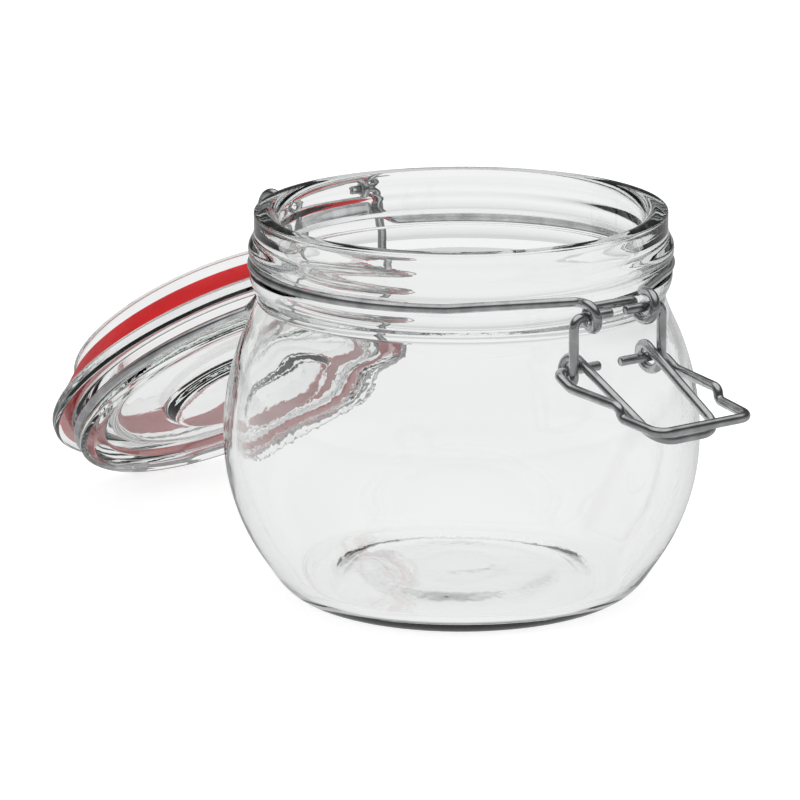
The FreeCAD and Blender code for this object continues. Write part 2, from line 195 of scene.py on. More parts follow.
# Wire: a circle carried along a path. Each step's side vector is any one square to the
# path, turned back by the summed twist between steps, so that the tube doesn't wring;
# round a closed path the twist left over is shared out evenly.
def wireSurface(name, path, closed=False):
    tangent = (np.roll(path, -1, axis=0) - np.roll(path, 1, axis=0) if closed
               else np.gradient(path, axis=0))
    tangent /= np.linalg.norm(tangent, axis=1, keepdims=True)
    helper = np.eye(3)[np.argmin(np.abs(tangent), axis=1)]
    side = np.cross(tangent, helper)
    side /= np.linalg.norm(side, axis=1, keepdims=True)
    other = np.cross(tangent, side)
    ahead = np.roll(tangent, -1, axis=0)
    carried = side - (side * ahead).sum(1, keepdims=True) * ahead
    twist = np.arctan2((carried * np.roll(other, -1, axis=0)).sum(1),
                       (carried * np.roll(side, -1, axis=0)).sum(1))
    turn = np.concatenate([[0], np.cumsum(twist)[:-1]])
    if closed:
        total = twist.sum()
        spare = round(total / (2 * math.pi)) * 2 * math.pi - total
        turn += spare * np.arange(len(path)) / len(path)
    turn = turn[:, None]
    sideEven = np.cos(turn) * side + np.sin(turn) * other
    otherEven = np.cross(tangent, sideEven)
    around = np.linspace(0, 2 * math.pi, wire["sides"], endpoint=False)[None, :, None]
    steps = np.linalg.norm(np.roll(path, -1, axis=0) - path, axis=1)
    lengths = np.concatenate([[0], np.cumsum(steps)])
    radius = np.full(len(path), wireRadius)
    if not closed:
        # the sheared ends are flat with a small bevel
        fromEnd = np.minimum(lengths[:-1], lengths[-2] - lengths[:-1])
        radius -= np.clip(wire["cutBevel"] - fromEnd, 0, wire["cutBevel"]) * 0.8
    grid = (path[:, None, :] + radius[:, None, None]
            * (np.cos(around) * sideEven[:, None, :] + np.sin(around) * otherEven[:, None, :]))
    if closed:
        return meshFromGrid(name, grid, lengths=lengths * mm, closed=True)
    return meshFromGrid(name, grid, path[0], path[-1], lengths[:-1] * mm)


# One outline out of its runs: its corners rounded by averaging over a window, its ends
# put on the axis, its rows closer where it bends.
def softOutline(runs, corner, rows):
    fine = evenSteps(np.vstack(runs), outlineStep)
    soft = averaged(fine, int(corner / outlineStep), acrossAxis=True)
    soft[[0, -1], 0] = 0
    return bentSteps(soft, rows)


# A point so far in front of the jar's axis.
def front(x, forward, height):
    return np.array([x, -forward, height], float)


# A point so far behind it.
def back(x, behind, height):
    return np.array([x, behind, height], float)


# Part of a level circle round the axis, by angle off the front, on the +X side.
def bandArc(radius, height, fromDeg, toDeg):
    angle = np.radians(np.linspace(fromDeg, toDeg, 200))
    return np.stack([radius * np.sin(angle), -radius * np.cos(angle),
                     np.full_like(angle, height)], axis=1)


# A turn of wire: angle runs in the plane of forward and up, and x moves on steadily.
def loopTurn(centreFront, centreHeight, radius, fromDeg, toDeg, fromX, toX):
    share = np.linspace(0, 1, 90)
    angle = np.radians(fromDeg + (toDeg - fromDeg) * share)
    return np.stack([fromX + (toX - fromX) * share,
                     -(centreFront + radius * np.cos(angle)),
                     centreHeight + radius * np.sin(angle)], axis=1)


# Corners made round: each corner with a radius gives way to the arc that touches both
# its sides, found by turning evenly from one touching point to the other.
def rounded(points, radii):
    route = [points[:1]]
    for place in range(1, len(points) - 1):
        corner = points[place]
        if not radii.get(place):
            route.append(corner[None])
            continue
        inward = points[place - 1] - corner
        outward = points[place + 1] - corner
        inward /= np.linalg.norm(inward)
        outward /= np.linalg.norm(outward)
        half = math.acos(np.clip(-inward @ outward, -1, 1)) / 2
        reach = radii[place] * math.tan(half)
        bisector = (inward + outward) / np.linalg.norm(inward + outward)
        centre = corner + bisector * radii[place] / math.cos(half)
        first = corner + inward * reach - centre
        last = corner + outward * reach - centre
        share = np.linspace(0, 1, 24)[:, None]
        route.append(centre + (np.sin((1 - share) * 2 * half) * first
                               + np.sin(share * 2 * half) * last) / math.sin(2 * half))
    route.append(points[-1:])
    return np.vstack(route)


# A wire's whole route from its +X half: the mirrored half and the half itself in even
# steps, the joins eased by averaging over a short window.
def easedRoute(half):
    whole = np.vstack([half[:0:-1] * mirror, half])
    return averaged(evenSteps(whole, wire["step"]), int(round(wire["ease"] / wire["step"])))


# The same for a wire that closes on itself, eased twice; points from past the seam on each
# side keep the seam as smooth as the rest.
def closedRoute(half, ease=0.9, pastSeam=60):
    whole = np.vstack([half, half[1:-1][::-1] * mirror, half[:1]])
    route = evenSteps(whole, wire["step"])[:-1]
    window = int(round(ease / wire["step"]))
    wide = np.concatenate([route[-pastSeam:], route, route[:pastSeam]])
    return averaged(averaged(wide, window), window)[pastSeam:-pastSeam]


jar = {
    "height": 89.2, "rim": 47.0, "mouth": 41.5, "belly": 54.6, "bellyHeight": 37.0,
    "waist": 46.5, "waistHeight": 69.0, "foot": 34.6, "footInner": 30.6, "footRecess": 2.3,
    "pushRadius": 24.0, "pushUp": 2.2,     # the base's pushed-up middle
    "wall": 3.3, "base": 3.8, "bead": 48.4, "beadHeight": 80.6, "ledge": 48.1,
    "ledgeHeight": 74.2, "grooveHeight": 77.2, "groove": 46.35,
    "lip": 2.6,             # radius of the mouth's rounded inner edge
    "corner": 0.55,         # how far corners are fire-polished
    "rows": 360, "segments": 256,
    "wave": 0.06,           # unevenness of the blown inside
}


# The jar's outline (radius, height), from the middle of the underside up the outside, over
# the rim and down the inside: splines for the blown curves, straight runs for the groove.
def jarOutline():
    j = jar
    low = j["grooveHeight"] - grooveHalf
    high = j["grooveHeight"] + grooveHalf
    body = splineThrough([
        (j["foot"], 0), (j["foot"] + 3.7, 0.75), (j["foot"] + 6.5, 2.5), (j["foot"] + 9.6, 6.4),
        (j["belly"] - 6.5, 12.4), (j["belly"] - 2.9, 20.2), (j["belly"] - 0.7, 28.5),
        (j["belly"], j["bellyHeight"]), (j["belly"] - 0.7, 46.5), (j["belly"] - 2.4, 54.2),
        (j["waist"] + 3.1, 61.5), (j["waist"] + 1.1, 65.9), (j["waist"], j["waistHeight"])])
    ledge = splineThrough([
        (j["waist"], j["waistHeight"]), (j["waist"] + 0.3, j["waistHeight"] + 1.6),
        (j["ledge"] - 0.4, j["ledgeHeight"] - 1.7), (j["ledge"], j["ledgeHeight"])])
    groove = [(j["ledge"], low - 0.7), (j["groove"], low), (j["groove"], high),
              (j["bead"] - 0.2, high + 0.7)]
    bead = splineThrough([
        (j["bead"] - 0.2, high + 0.7), (j["bead"], j["beadHeight"]),
        (j["bead"] - 0.2, j["beadHeight"] + 1.3), (j["rim"] + 0.3, j["beadHeight"] + 3.1),
        (j["rim"], j["beadHeight"] + 4.4)])
    quarter = np.radians(np.linspace(90, 180, 20))
    lip = np.stack([j["mouth"] + j["lip"] * (1 + np.cos(quarter)),
                    j["height"] - j["lip"] * (1 - np.sin(quarter))], axis=1)
    inside = splineThrough([
        (j["mouth"], 75.2), (j["mouth"] + 0.2, 71.0), (j["waist"] + 1.1 - j["wall"], 64.2),
        (j["belly"] - 2.4 - j["wall"], 53.2), (j["belly"] - j["wall"], j["bellyHeight"]),
        (j["belly"] - 0.6 - j["wall"], 29.0), (j["belly"] - 2.7 - j["wall"], 21.2),
        (j["belly"] - 6.1 - j["wall"], 14.0), (j["foot"] + 10.2 - j["wall"], 8.3),
        (j["foot"] + 7.4 - j["wall"], j["base"] + 1.3),
        (j["foot"] + 4.6 - j["wall"], j["base"] + 0.2), (j["foot"] - 2.0, j["base"])])
    push, floorTop = j["pushRadius"], j["base"] + j["pushUp"]
    floor = splineThrough([
        (j["foot"] - 2.0, j["base"]), (push + 4.0, j["base"] + 0.1),
        (push + 1.0, j["base"] + 0.4), (push - 3.0, j["base"] + 1.25),
        (push - 8.0, floorTop - 0.4), (push - 16.0, floorTop)])
    underside = splineThrough([
        (push - 16.0, j["footRecess"]), (push - 11.0, j["footRecess"] - 0.15),
        (push - 4.5, j["footRecess"] - 0.6), (push, j["footRecess"] - 1.1),
        (j["footInner"] - 2.0, 0.40), (j["footInner"], 0)])
    runs = [
        [(0, j["footRecess"])], underside, body, ledge, groove, bead,
        [(j["rim"], j["height"] - 0.1), (j["rim"] - 0.1, j["height"])],
        lip, inside, floor, [(0, floorTop)],
    ]
    return softOutline(runs, j["corner"], j["rows"])


# The inside swells and dips by about a tenth: a sum of slow waves in angle and height. It is
# kept to the inside rows, the last two fifths of the outline, and fades out towards the neck
# and the middle of the base.
def jarSwell(outline, angle):
    radius, height = outline[:, :1], outline[:, 1:]
    place = np.arange(len(outline))[:, None] / len(outline)
    inside = np.clip((place - 0.58) * 12, 0, 1)
    belowNeck = np.clip((72 - height) / 14, 0, 1)
    offMiddle = np.clip((radius - 12) / 14, 0, 1)
    wave = (np.sin(3 * angle + 0.11 * height + 0.6)
            + 0.7 * np.sin(5 * angle - 0.17 * height + 2.1)
            + 0.5 * np.sin(2 * angle + 0.31 * height + 4.0))
    return jar["wave"] * inside * belowNeck * offMiddle * wave


jarShape = jarOutline()
jarGrid = turned(jarShape[1:-1], jar["segments"], swell=jarSwell)
jarGlass = meshFromGrid("jarGlass", jarGrid, [0, 0, jarShape[0, 1]], [0, 0, jarShape[-1, 1]])
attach(jarGlass, "jar")
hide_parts("jar_glass")
print("jar glass", len(jarGlass.data.polygons), "faces")


lid = {
    "flange": 46.3, "thickness": 3.2, "rim": 42.2, "rimTop": 8.6, "groove": 40.45,
    "grooveHeight": 4.55, "plateTop": 7.0, "plateUnder": 2.6, "boss": 19.1, "bossTop": 9.2,
    "plug": 36.9, "plugInner": 33.2, "plugDepth": 12.2, "plugTip": 1.6,
    "aboveRim": 2.9,        # of the flange's underside, lid shut
    "corner": 0.5, "rows": 330, "segments": 256,
    "wave": 0.06,           # unevenness of the pressed plate
}
hinge = {"behind": 58.0, "height": 81.6, "openDeg": 220.0}
lidHeight = jar["height"] + lid["aboveRim"] + lid["thickness"] / 2      # shut


# The lid is made shut and level, then turned about the hinge line to its resting place.
def swungOpen(points):
    turn = math.radians(-hinge["openDeg"])
    y = points[..., 1] - hinge["behind"]
    z = points[..., 2] - hinge["height"]
    return np.stack([points[..., 0],
                     hinge["behind"] + y * math.cos(turn) - z * math.sin(turn),
                     hinge["height"] + y * math.sin(turn) + z * math.cos(turn)], axis=-1)


# The lid's outline (radius, height over the flange's middle), from the middle of the
# plate's underside round the plug and the flange, up the rim and in over the plate.
def lidOutline():
    d = lid
    half = d["thickness"] / 2
    low = d["grooveHeight"] - grooveHalf
    high = d["grooveHeight"] + grooveHalf
    rimInner = d["rim"] - 4.0
    tipAngle = np.radians(np.linspace(180, 360, 30))
    middle = (d["plug"] + d["plugInner"]) / 2
    tip = np.stack([middle + (d["plug"] - middle) * np.cos(tipAngle),
                    d["plugTip"] * (1 + np.sin(tipAngle)) - d["plugDepth"]], axis=1)
    underside = splineThrough([
        (d["plugInner"] - 3.0, d["plateUnder"]), (d["plugInner"] - 0.6, d["plateUnder"] - 0.8),
        (d["plugInner"], d["plateUnder"] - 3.0)])
    rim = splineThrough([
        (rimInner + 1.0, d["rimTop"]), (rimInner - 0.6, d["plateTop"] + 0.8),
        (rimInner - 2.6, d["plateTop"])])
    boss = splineThrough([
        (d["boss"] + 1.5, d["plateTop"] + 0.05), (d["boss"] + 0.2, d["plateTop"] + 0.4),
        (d["boss"] - 1.0, d["bossTop"] - 0.4), (d["boss"] - 2.2, d["bossTop"] - 0.05),
        (d["boss"] - 3.5, d["bossTop"])])
    runs = [
        [(0, d["plateUnder"])], underside, tip,
        [(d["plug"], -half), (d["flange"] - 0.7, -half), (d["flange"], -half + 0.7),
         (d["flange"], half - 0.7), (d["flange"] - 0.7, half), (d["groove"] + 1.6, half),
         (d["groove"], low), (d["groove"], high), (d["rim"], high + 0.7),
         (d["rim"], d["rimTop"] - 0.8), (d["rim"] - 0.8, d["rimTop"])],
        rim, boss, [(0, d["bossTop"])],
    ]
    return softOutline(runs, d["corner"], d["rows"])


# The plate's top face dips and rises very slightly: slow waves in angle and radius.
def lidLift(outline, angle):
    radius, height = outline[:, :1], outline[:, 1:]
    plate = np.clip((38 - radius) / 6, 0, 1) * np.clip((radius - 3) / 6, 0, 1) * (height > 4)
    return lid["wave"] * plate * (np.sin(2 * angle + radius / 6)
                                  + np.sin(3 * angle - radius / 4 + 1.3))


lidShape = lidOutline()
lidGrid = turned(lidShape[1:-1], lid["segments"], lift=lidLift)
lift = np.array([0, 0, lidHeight])
lidPoles = [swungOpen(np.array([0, 0, height]) + lift) for height in lidShape[[0, -1], 1]]
lidGlass = meshFromGrid("lidGlass", swungOpen(lidGrid + lift), lidPoles[0], lidPoles[1])
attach(lidGlass, "lid")
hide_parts("lid_glass")
print("lid glass", len(lidGlass.data.polygons), "faces")


gasket = {
    "outer": 44.6,          # of the edge that is up against the flange
    "edge": 0.4, "thickness": 2.6, "tip": 38.3, "drop": 6.45, "bore": 37.0,
    "air": 0.06,            # film of air under the flange
    "corner": 0.45, "rowGap": 0.2, "segments": 256,
}


# Closed outline of the ring's section: a flat ring dished down round the plug, with its
# inner end square to its faces. Run round so that the faces look outward.
def gasketOutline():
    g = gasket
    top = -lid["thickness"] / 2 - g["air"]
    tip = np.array([g["tip"], top - g["drop"]])
    edge = np.array([g["outer"], top - g["edge"]])
    out, up = (edge - tip) / np.linalg.norm(edge - tip)
    endHeight = tip[1] + (tip[0] - g["bore"]) * out / up
    innerTop = tip[1] - (tip[0] - g["bore"]) * up / out + g["thickness"] / out
    topRadius = tip[0] + (top - tip[1] - g["thickness"] / out) * out / up
    corners = [(g["bore"], endHeight), tip, edge, (g["outer"] - 0.2, top), (topRadius, top),
               (g["bore"], innerTop), (g["bore"], endHeight)]
    step = 0.03
    fine = evenSteps(corners, step)[:-1]
    half = int(g["corner"] / (2 * step))
    wide = np.concatenate([fine[-half:], fine, fine[:half]])
    soft = windowMean(wide, half)
    return evenSteps(np.vstack([soft, soft[:1]]), g["rowGap"])


gasketShape = gasketOutline()
gasketGrid = swungOpen(turned(gasketShape[:-1], gasket["segments"]) + lift)
gasketRing = meshFromGrid("gasketRing", gasketGrid, closed=True)
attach(gasketRing, "lid")
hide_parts("gasket")
print("rubber ring", len(gasketRing.data.polygons), "faces")


# Angle off the front at which a line from (x, away) touches a circle round the axis.
def touchDeg(x, away, radius):
    return math.degrees(math.atan2(x, away) + math.acos(radius / math.hypot(x, away)))


neckWireSizes = {
    "eyeX": 7.6, "eyeFront": 57.6, "eyeHeight": 76.3, "crossbarRise": 1.1,
    "hingeX": 12.3, "hingeBarDrop": 0.5,
    "bandEndDeg": 156, "splayDeg": 24,      # where the wire leaves the groove, and how
    "bend": 2.4,
}


# Round the neck in its groove, out to an eye on each side of the front, where the two
# eyes share one crossbar, and up to the hinge eyes at the back, which share another.
def neckRoute():
    n = neckWireSizes
    loop, pitch = wire["loop"], wire["pitch"]
    radius = jar["groove"] + wire["play"] + wireRadius
    near = n["eyeFront"] - loop
    firstX, lastX = n["eyeX"] - pitch / 2, n["eyeX"] + pitch / 2
    band = bandArc(radius, jar["grooveHeight"], touchDeg(lastX, near, radius), n["bandEndDeg"])
    eye = loopTurn(n["eyeFront"], n["eyeHeight"], loop, 165, 450, firstX, lastX)
    barHeight = n["eyeHeight"] + n["crossbarRise"]
    crossbar = [front(0, near, barHeight), front(firstX, near, barHeight)]
    leaving = rounded(np.array([eye[-1], front(lastX, near, n["eyeHeight"] + loop), band[0]]),
                      {1: n["bend"]})
    turn = math.radians(n["splayDeg"])
    run = (band[-1, 0] - (n["hingeX"] + pitch * 0.6)) / math.cos(turn)
    bend = band[-1] + np.array([-run * math.cos(turn), run * math.sin(turn), 0])
    curl = loopTurn(-hinge["behind"], hinge["height"], loop, 235, -20,
                    n["hingeX"] + pitch / 2, n["hingeX"] - pitch / 2)
    arriving = rounded(np.array([band[-1], bend, curl[0]]), {1: n["bend"]})
    low = hinge["height"] - loop - n["hingeBarDrop"]
    bar = [back(n["hingeX"] - pitch / 2, hinge["behind"] - loop, low),
           back(0, hinge["behind"] - loop, low)]
    return np.vstack([crossbar, eye, leaving, band, arriving, curl, bar])


lidWireSizes = {
    "hookX": 7.6, "hookFront": 48.2, "hookDrop": 1.2, "hookBend": 2.4, "hookRootBend": 1.9,
    "armX": 16.3, "armBack": 49.5, "stubX": 8.6,
    "armRootBend": 1.9, "armBend": 3.0, "stubBend": 2.2,
    "bandDeg": (17, 152),                   # where the wire leaves the groove
    "hookSplayDeg": 17, "armSplayDeg": 28,
}


# Round the lid in its groove, squared out to a hook at the front, and back along two arms
# whose ends turn in through the hinge eyes.
def lidRoute():
    w = lidWireSizes
    height = lidHeight + lid["grooveHeight"]
    band = bandArc(lid["groove"] + wire["play"] + wireRadius, height, *w["bandDeg"])
    turn = math.radians(w["hookSplayDeg"])
    run = (band[0, 0] - w["hookX"]) / math.cos(turn)
    hook = rounded(np.array([
        front(0, w["hookFront"], height - w["hookDrop"]),
        front(w["hookX"], w["hookFront"], height - w["hookDrop"]),
        front(w["hookX"], -band[0, 1] + run * math.sin(turn), height),
        band[0]]), {1: w["hookBend"], 2: w["hookRootBend"]})
    turn = math.radians(w["armSplayDeg"])
    run = (band[-1, 0] - w["armX"]) / math.cos(turn)
    arm = rounded(np.array([
        band[-1],
        back(w["armX"], band[-1, 1] + run * math.sin(turn), height),
        back(w["armX"], w["armBack"], height),
        back(w["armX"], hinge["behind"], hinge["height"]),
        back(w["stubX"], hinge["behind"], hinge["height"])]),
        {1: w["armRootBend"], 2: w["armBend"], 3: w["stubBend"]})
    return np.vstack([hook, band, arm])


leverSizes = {
    "legX": 12.2, "legLength": 12.3, "legBend": 2.0, "stubEndX": 2.0,
    "endX": 8.6, "endFront": 82.6, "endHeight": 53.4, "endBend": 5.2,
}
eyeFront, eyeHeight = neckWireSizes["eyeFront"], neckWireSizes["eyeHeight"]
coilFront, coilHeight = eyeFront - wire["loop"], eyeHeight - leverSizes["legLength"]


# One coil each side between an upright leg and a long arm; the arms meet in the end loop
# that is pressed down, and the legs' tips turn in through the neck wire's eyes. An arm
# leaves its coil where the line from the end loop touches it.
def leverRoute():
    v = leverSizes
    loop = wire["loop"]
    reachFront, reachUp = v["endFront"] - coilFront, v["endHeight"] - coilHeight
    start = math.degrees(math.atan2(reachUp, reachFront)
                         + math.acos(loop / math.hypot(reachFront, reachUp)))
    coil = loopTurn(coilFront, coilHeight, loop, start, 360, v["legX"] - wire["pitch"],
                    v["legX"])
    end = rounded(np.array([front(0, v["endFront"], v["endHeight"]),
                            front(v["endX"], v["endFront"], v["endHeight"]), coil[0]]),
                  {1: v["endBend"]})
    leg = rounded(np.array([coil[-1], front(v["legX"], eyeFront, eyeHeight),
                            front(v["stubEndX"], eyeFront, eyeHeight)]), {1: v["legBend"]})
    return np.vstack([end, coil, leg])


bailSizes = {
    "endX": 12.6, "endFront": 87.9, "endHeight": 57.0, "endBend": 3.0,
    "kinkFront": 75.4, "kinkHeight": 60.6, "kinkDepth": 2.5, "kinkBends": (1.5, 1.9),
    "sideX": 14.8, "sideBend": 6.0, "stubX": 3.0, "stubBend": 2.0,
}


# The bail swings in the lever's coils; its sides have a kink that catches under the hook.
def bailRoute():
    b = bailSizes
    return rounded(np.array([
        front(0, b["endFront"], b["endHeight"]),
        front(b["endX"], b["endFront"], b["endHeight"]),
        front(b["endX"] + 0.8, b["kinkFront"] + 0.8, b["kinkHeight"] - b["kinkDepth"]),
        front(b["endX"] + 1.1, b["kinkFront"], b["kinkHeight"]),
        front(b["sideX"] - 0.2, coilFront + 5.0, coilHeight - 2.4),
        front(b["sideX"], coilFront, coilHeight),
        front(b["stubX"], coilFront, coilHeight)]),
        {1: b["endBend"], 2: b["kinkBends"][0], 3: b["kinkBends"][1], 4: b["sideBend"],
         5: b["stubBend"]})


neckWirePiece = wireSurface("neckWire", closedRoute(neckRoute()), closed=True)
lidWirePiece = wireSurface("lidWire", swungOpen(easedRoute(lidRoute())))
leverPiece = wireSurface("leverPiece", easedRoute(leverRoute()))
bailPiece = wireSurface("bailPiece", easedRoute(bailRoute()))
wirePieces = [
    (neckWirePiece, "jar", "neck_wire"), (lidWirePiece, "lid", "lid_wire"),
    (leverPiece, "lever", "lever"), (bailPiece, "bail", "bail"),
]
for piece, body, node in wirePieces:
    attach(piece, body)
    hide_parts(node)
    print(piece.name, len(piece.data.polygons), "faces")


# A node material, its nodes and links, and its main shader.
def newMaterial(name):
    material = bpy.data.materials.new(name)
    material.use_nodes = True
    nodes = material.node_tree.nodes
    return material, nodes, material.node_tree.links, nodes["Principled BSDF"]


# Noise fixed to the piece, so many grains to the metre.
def objectNoise(nodes, links, scale, detail):
    place = nodes.new("ShaderNodeTexCoord")
    noise = nodes.new("ShaderNodeTexNoise")
    noise.inputs["Scale"].default_value = scale
    noise.inputs["Detail"].default_value = detail
    links.new(place.outputs["Object"], noise.inputs["Vector"])
    return noise.outputs["Fac"]


# A value spread from one range to another; noise mostly lies between 0.3 and 0.7.
def ranged(nodes, links, source, low, high, fromLow=0.3, fromHigh=0.7):
    spread = nodes.new("ShaderNodeMapRange")
    spread.inputs["From Min"].default_value = fromLow
    spread.inputs["From Max"].default_value = fromHigh
    spread.inputs["To Min"].default_value = low
    spread.inputs["To Max"].default_value = high
    links.new(source, spread.inputs["Value"])
    return spread.outputs["Result"]


# A colour between two, picked by noise.
def mixedColor(nodes, links, noise, low, high):
    mix = nodes.new("ShaderNodeMix")
    mix.data_type = "RGBA"
    mix.inputs[6].default_value = (*low, 1)
    mix.inputs[7].default_value = (*high, 1)
    links.new(ranged(nodes, links, noise, 0, 1), mix.inputs[0])
    return mix.outputs[2]


# A surface raised by noise, to so many metres at full strength, over another such surface.
def raised(nodes, links, noise, depth, strength=1.0, over=None):
    bump = nodes.new("ShaderNodeBump")
    bump.inputs["Strength"].default_value = strength
    bump.inputs["Distance"].default_value = depth
    links.new(noise, bump.inputs["Height"])
    if over is not None:
        links.new(over, bump.inputs["Normal"])
    return bump.outputs["Normal"]


glassLook = {
    "ior": 1.45, "tint": (0.66, 0.78, 0.74), "tintPerMetre": 9.0,
    "peelScale": 380.0, "peelDepth": 0.000014, "driftScale": 30.0, "driftDepth": 0.0004,
    "roughness": (0.0, 0.02),
}


# Pressed soda glass: a faint skin of orange peel over slow drifts, a trace of haze from
# the mould, and a green-grey tint that builds up with the thickness.
def glassMaterial(name):
    look = glassLook
    material, nodes, links, shader = newMaterial(name)
    shader.inputs["Base Color"].default_value = (1, 1, 1, 1)
    shader.inputs["Transmission Weight"].default_value = 1.0
    shader.inputs["IOR"].default_value = look["ior"]
    peel = objectNoise(nodes, links, look["peelScale"], 2.0)
    drift = objectNoise(nodes, links, look["driftScale"], 1.5)
    slow = raised(nodes, links, drift, look["driftDepth"])
    fine = raised(nodes, links, peel, look["peelDepth"], over=slow)
    links.new(fine, shader.inputs["Normal"])
    links.new(ranged(nodes, links, drift, *look["roughness"]), shader.inputs["Roughness"])
    tint = nodes.new("ShaderNodeVolumeAbsorption")
    tint.inputs["Color"].default_value = (*look["tint"], 1)
    tint.inputs["Density"].default_value = look["tintPerMetre"]
    links.new(tint.outputs["Volume"], nodes["Material Output"].inputs["Volume"])
    return material


rubberLook = {
    "deep": (0.57, 0.004, 0.008), "bright": (0.74, 0.007, 0.012), "roughness": (0.32, 0.46),
    "cloudScale": 90.0, "grainScale": 900.0, "grainDepth": 0.00006, "grainStrength": 0.5,
    "glow": 0.15, "glowReach": (0.004, 0.0006, 0.0006), "ior": 1.5,
}


# Moulded rubber: clear red with faint clouding, a soft sheen and a fine mould grain.
def rubberMaterial():
    look = rubberLook
    material, nodes, links, shader = newMaterial("redRubber")
    cloud = objectNoise(nodes, links, look["cloudScale"], 3.0)
    grain = objectNoise(nodes, links, look["grainScale"], 2.0)
    color = mixedColor(nodes, links, cloud, look["deep"], look["bright"])
    links.new(color, shader.inputs["Base Color"])
    links.new(ranged(nodes, links, grain, *look["roughness"]), shader.inputs["Roughness"])
    surface = raised(nodes, links, grain, look["grainDepth"], look["grainStrength"])
    links.new(surface, shader.inputs["Normal"])
    shader.inputs["Subsurface Weight"].default_value = look["glow"]
    shader.inputs["Subsurface Radius"].default_value = look["glowReach"]
    shader.inputs["Subsurface Scale"].default_value = 1.0
    shader.inputs["IOR"].default_value = look["ior"]
    return material


steelLook = {
    "dull": (0.40, 0.405, 0.41), "bright": (0.62, 0.625, 0.635), "roughness": (0.12, 0.26),
    "patchScale": 260.0, "lineScale": (60, 9, 1),       # along the wire and round it
    "lineDepth": 0.00005, "lineStrength": 0.35,
}


# Bright plated steel wire: shallow drawn marks, longer along it than round it, and faint
# cloudy patches in the plating.
def steelMaterial():
    look = steelLook
    material, nodes, links, shader = newMaterial("platedSteel")
    shader.inputs["Metallic"].default_value = 1.0
    along = nodes.new("ShaderNodeUVMap")
    along.uv_map = "along"
    mapping = nodes.new("ShaderNodeMapping")
    mapping.inputs["Scale"].default_value = look["lineScale"]
    drawn = nodes.new("ShaderNodeTexNoise")
    drawn.inputs["Scale"].default_value = 1.0
    drawn.inputs["Detail"].default_value = 4.0
    links.new(along.outputs["UV"], mapping.inputs["Vector"])
    links.new(mapping.outputs["Vector"], drawn.inputs["Vector"])
    marks = drawn.outputs["Fac"]
    patches = objectNoise(nodes, links, look["patchScale"], 3.0)
    color = mixedColor(nodes, links, patches, look["dull"], look["bright"])
    links.new(color, shader.inputs["Base Color"])
    links.new(ranged(nodes, links, marks, *look["roughness"]), shader.inputs["Roughness"])
    surface = raised(nodes, links, marks, look["lineDepth"], look["lineStrength"])
    links.new(surface, shader.inputs["Normal"])
    return material


jarGlass.data.materials.append(glassMaterial("jarGlassLook"))
lidGlass.data.materials.append(glassMaterial("lidGlassLook"))
gasketRing.data.materials.append(rubberMaterial())
steel = steelMaterial()
for piece, body, node in wirePieces:
    piece.data.materials.append(steel)
print("materials ready")


studio = {
    "floorColor": (0.60, 0.60, 0.60), "floorGlow": 0.70, "floorSize": 6.0,
    "throughNear": 0.90, "throughFar": 0.66,     # of the floor as glass shows it
    "mirrorNear": 0.50, "mirrorFar": 0.10,       # of the floor as metal mirrors it
    "whiteRadius": 0.30, "greyRadius": 0.90,
    "skyLight": 0.62,
    # height of the sky's bands as the sine of their elevation, and how light each is
    "throughSky": [(0.0, 0.91), (0.14, 0.91), (0.28, 0.64), (0.50, 0.64), (0.74, 0.91)],
    "mirrorSky": [(0.0, 0.45), (0.10, 0.30), (0.24, 0.07), (0.60, 0.10), (0.86, 1.0)],
}


# A number for the rays that pass through glass and another for those that bounce off.
def byRay(nodes, links, path, through, mirrored):
    pick = nodes.new("ShaderNodeMix")
    pick.data_type = "FLOAT"
    links.new(path.outputs["Is Transmission Ray"], pick.inputs[0])
    links.new(mirrored, pick.inputs[2])
    links.new(through, pick.inputs[3])
    return pick.outputs[0]


# Is the ray one that shows the surroundings in glass or metal?
def shownFactor(nodes, links, path):
    either = nodes.new("ShaderNodeMath")
    either.operation = "ADD"
    either.use_clamp = True
    links.new(path.outputs["Is Glossy Ray"], either.inputs[0])
    links.new(path.outputs["Is Transmission Ray"], either.inputs[1])
    return either.outputs[0]


